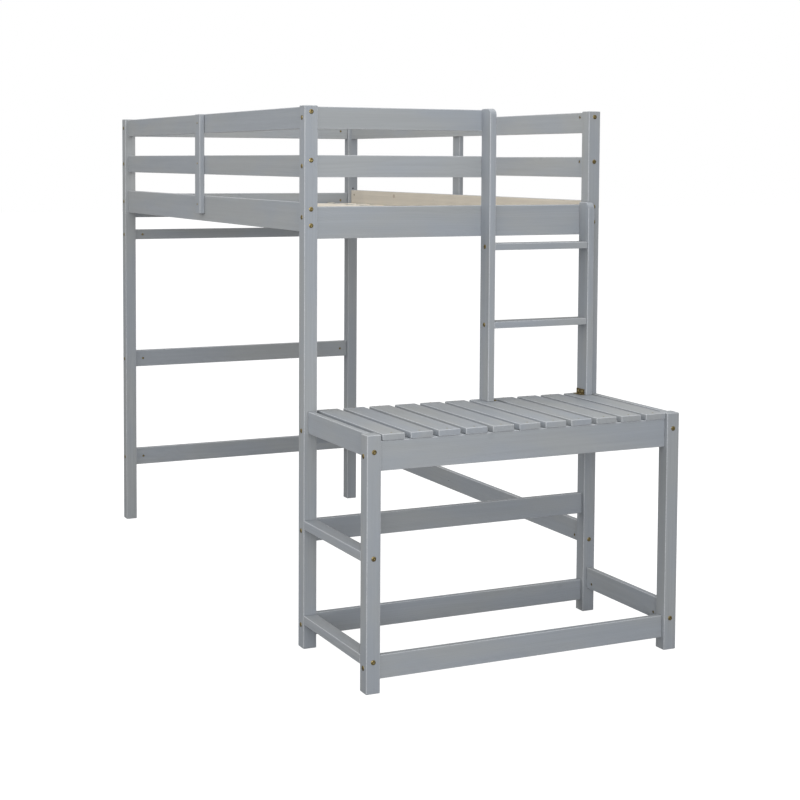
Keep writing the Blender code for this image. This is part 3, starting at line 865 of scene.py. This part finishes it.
def add_slats():
    """The planed slats, and the two straps that are stapled over them."""
    low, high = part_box("bed_slat_roll")
    top = low.z + SLAT_THICK
    pitch = (high.y - low.y - SLAT_WIDTH) / (SLATS - 1)
    chance = random.Random("slats")
    starts = [low.y + i * pitch for i in range(SLATS)]
    for i, y in enumerate(starts):
        bm = bmesh.new()
        ends = [chance.uniform(0, SLAT_UNEVEN) for _ in range(2)]
        first = (low.x + ends[0], y, low.z)
        last = (high.x - ends[1], y + SLAT_WIDTH, top)
        bevelled_box(bm, first, last, SLAT_ROUND)
        name = f"bed_slat_{i + 1:02d}"
        centre = (Vector(first) + Vector(last)) / 2
        pine = bare_pine(name, 0, centre, SLAT_LIGHTER)
        piece = add_piece(name, bm, pine, "bed_slat_roll")
        piece.data.shade_smooth()
        soften(piece)
    webbing = woven_webbing("webbing")
    steel = plated_metal("staple_steel", STEEL_BRIGHT, STEEL_DULL, 0.32)
    staples = bmesh.new()
    for side, x in (("left", low.x + STRAP_INSET), ("right", high.x - STRAP_INSET)):
        bm = bmesh.new()
        sweep_band(bm, strap_path(starts, top), x, STRAP_WIDTH, STRAP_THICK)
        add_piece(f"slat_strap_{side}", bm, webbing, "bed_slat_roll")
        for y in starts:
            for along in STAPLE_PLACES:
                add_staple(staples, x, y + SLAT_WIDTH * along, top + STRAP_THICK, chance)
    add_piece("strap_staples", staples, steel, "bed_slat_roll")


def strap_path(starts, top):
    """A strap's line as (y, z): flat on each slat, with a slight sag between two, and folded at its ends."""
    rest = top + STRAP_THICK / 2 + STRAP_GAP
    first = starts[0] + STRAP_END
    last = starts[-1] + SLAT_WIDTH - STRAP_END
    path = fold_points(first, rest, -1)[::-1]
    for i, y in enumerate(starts):
        for share in (0.0, 0.25, 0.5, 0.75, 1.0):
            here = y + SLAT_WIDTH * share
            if first < here < last:
                path.append((here, rest))
        if i < len(starts) - 1:
            gap = starts[i + 1] - y - SLAT_WIDTH
            for k in range(1, STRAP_STEPS):
                sag = STRAP_SAG * math.sin(math.pi * k / STRAP_STEPS) ** 2
                path.append((y + SLAT_WIDTH + gap * k / STRAP_STEPS, rest - sag))
    return path + fold_points(last, rest, 1)


def fold_points(y, rest, way):
    """A loose hem: the strap turns up and back over itself at its end."""
    lift = STRAP_THICK / 2 + FOLD_RADIUS
    points = []
    for k in range(STRAP_STEPS + 1):
        turn = math.pi * k / STRAP_STEPS
        points.append((y + way * lift * math.sin(turn), rest + lift * (1 - math.cos(turn))))
    for k in range(1, FLAP_STEPS + 1):
        points.append((y - way * FLAP_STEP * k, rest + 2 * lift - FLAP_DROP * k))
    return points


def add_staple(bm, x, y, z, chance):
    """A staple's crown of flat wire across the strap, with its two shoulders bent down into the webbing."""
    half = STAPLE_HALF
    wire = STAPLE_WIRE
    skew = chance.uniform(-STAPLE_SKEW, STAPLE_SKEW)
    path = [(-half, -STAPLE_LEG), (-half, -STAPLE_BEND), (-half + STAPLE_SHOULDER, wire / 2)]
    path += [(half - STAPLE_SHOULDER, wire / 2), (half, -STAPLE_BEND), (half, -STAPLE_LEG)]
    loops = []
    for i, (dx, dz) in enumerate(path):
        before = Vector(path[max(i - 1, 0)])
        after = Vector(path[min(i + 1, len(path) - 1)])
        along = (after - before).normalized()
        loop = []
        for k in range(STAPLE_SIDES):
            turn = 2 * math.pi * k / STAPLE_SIDES
            out = wire / 2 * math.cos(turn)
            side = wire * 0.7 * math.sin(turn)
            spot = (x + dx - along.y * out, y + skew * dx / half + side, z + dz + along.x * out)
            loop.append(bm.verts.new(spot))
        loops.append(loop)
    for near, far in zip(loops, loops[1:]):
        for k in range(STAPLE_SIDES):
            n = (k + 1) % STAPLE_SIDES
            bm.faces.new((near[k], near[n], far[n], far[k]))
    bm.faces.new(loops[0][::-1])
    bm.faces.new(loops[-1])


# ---------------------------------------------------------------------------------------- studio

# Place in metres, lens and sensor in millimetres, shift in shares of the picture
CAMERA_PLACE = (-2.366, -5.226, 1.509)
CAMERA_YAW = math.radians(25.124)
CAMERA_PITCH = math.radians(-3.55)
CAMERA_ROLL = math.radians(0.3)
CAMERA_LENS = 71.17
CAMERA_SENSOR = 36
CAMERA_SHIFT = (0.025, -0.175)

# Each row: name, place, target, size, power, colour
LIGHTS = [
    ("front", (-1.0, -5.8, 1.7), (0.0, -0.5, 0.9), 2.4, 34.0, (0.98, 0.99, 1.0)),
    ("front left", (-2.2, -5.7, 1.3), (0.0, -0.5, 0.8), 2.0, 72.0, (0.98, 0.99, 1.0)),
    ("left", (-4.2, 0.2, 2.6), (0.0, 0.3, 0.9), 3.0, 59.0, (1.0, 0.99, 0.96)),
    ("top", (0.4, -0.2, 4.4), (0.1, 0.0, 0.8), 3.0, 68.0, (1.0, 0.99, 0.96)),
    ("near", (-0.9, -2.6, 2.5), (0.0, -0.3, 1.3), 1.6, 12.0, (0.98, 0.99, 1.0)),
]
AMBIENT = 0.48
BACKDROP = 1.0
FLOOR_GLOW = 0.93
FLOOR_HALF = 40
FLOOR_DROP = 0.0002


def add_camera():
    """A camera at the photograph's viewing angle, turned by yaw, then pitch, then roll."""
    yaw, pitch, roll = CAMERA_YAW, CAMERA_PITCH, CAMERA_ROLL
    forward = Vector((math.sin(yaw) * math.cos(pitch), math.cos(yaw) * math.cos(pitch), math.sin(pitch)))
    right = Vector((math.cos(yaw), -math.sin(yaw), 0))
    up = right.cross(forward)
    right, up = right * math.cos(roll) + up * math.sin(roll), up * math.cos(roll) - right * math.sin(roll)
    data = bpy.data.cameras.new("camera")
    data.lens = CAMERA_LENS
    data.sensor_width = CAMERA_SENSOR
    data.shift_x, data.shift_y = CAMERA_SHIFT
    camera = bpy.data.objects.new("camera", data)
    turn = Matrix((right, up, -forward)).transposed().to_4x4()
    camera.matrix_world = Matrix.Translation(CAMERA_PLACE) @ turn
    bpy.context.scene.collection.objects.link(camera)
    bpy.context.scene.camera = camera


def add_lights():
    """Square area lights, each turned to its target."""
    for name, place, target, size, power, colour in LIGHTS:
        data = bpy.data.lights.new(name, "AREA")
        data.shape = "SQUARE"
        data.size = size
        data.energy = power
        data.color = colour
        lamp = bpy.data.objects.new(name, data)
        look = (Vector(target) - Vector(place)).to_track_quat("-Z", "Y").to_matrix().to_4x4()
        lamp.matrix_world = Matrix.Translation(place) @ look
        bpy.context.scene.collection.objects.link(lamp)


def seen_or_lighting(tree):
    """1 where the camera looks straight at the surface, and 0 for the light it gives."""
    return tree.nodes.new("ShaderNodeLightPath").outputs["Is Camera Ray"]


def add_world():
    """White to the camera, and a dimmer even light on the object."""
    world = bpy.data.worlds.new("studio")
    world.use_nodes = True
    tree = world.node_tree
    background = tree.nodes["Background"]
    background.inputs["Color"].default_value = WHITE
    s = Shading(tree)
    strength = s.math("MULTIPLY_ADD", seen_or_lighting(tree), BACKDROP - AMBIENT, AMBIENT)
    s.put(background.inputs["Strength"], strength)
    bpy.context.scene.world = world


def add_floor():
    """A plain floor that the camera sees as white, and that gives only a little light back."""
    mesh = bpy.data.meshes.new("floor")
    bm = bmesh.new()
    bmesh.ops.create_grid(bm, x_segments=8, y_segments=8, size=FLOOR_HALF)
    bm.to_mesh(mesh)
    bm.free()
    floor = bpy.data.objects.new("floor", mesh)
    floor.location.z = -FLOOR_DROP
    bpy.context.scene.collection.objects.link(floor)
    material = bpy.data.materials.new("floor_white")
    material.use_nodes = True
    tree = material.node_tree
    shader = tree.nodes["Principled BSDF"]
    shader.inputs["Base Color"].default_value = FLOOR_GREY
    shader.inputs["Roughness"].default_value = 0.9
    shader.inputs["Specular IOR Level"].default_value = 0.1
    shader.inputs["Emission Color"].default_value = WHITE
    s = Shading(tree)
    s.put(shader.inputs["Emission Strength"], s.math("MULTIPLY", seen_or_lighting(tree), FLOOR_GLOW))
    mesh.materials.append(material)


finish_boards()
kit = Hardware()
add_cross_bolts(kit)
add_wood_screws(kit)
add_bracket_screws(kit)
# The bracket screws take a lit copy of the brass: painted light on heads that face away from the lamps
lit_brass = plated_metal("lit_brass", BRASS_LIT, BRASS_BRIGHT, 0.30)
kit.make_pieces(plated_metal("brass", BRASS_BRIGHT, BRASS_DULL, 0.34), {"screws_brackets": lit_brass})
add_slats()
add_camera()
add_lights()
add_world()
add_floor()
bpy.context.scene.view_settings.view_transform = "Standard"
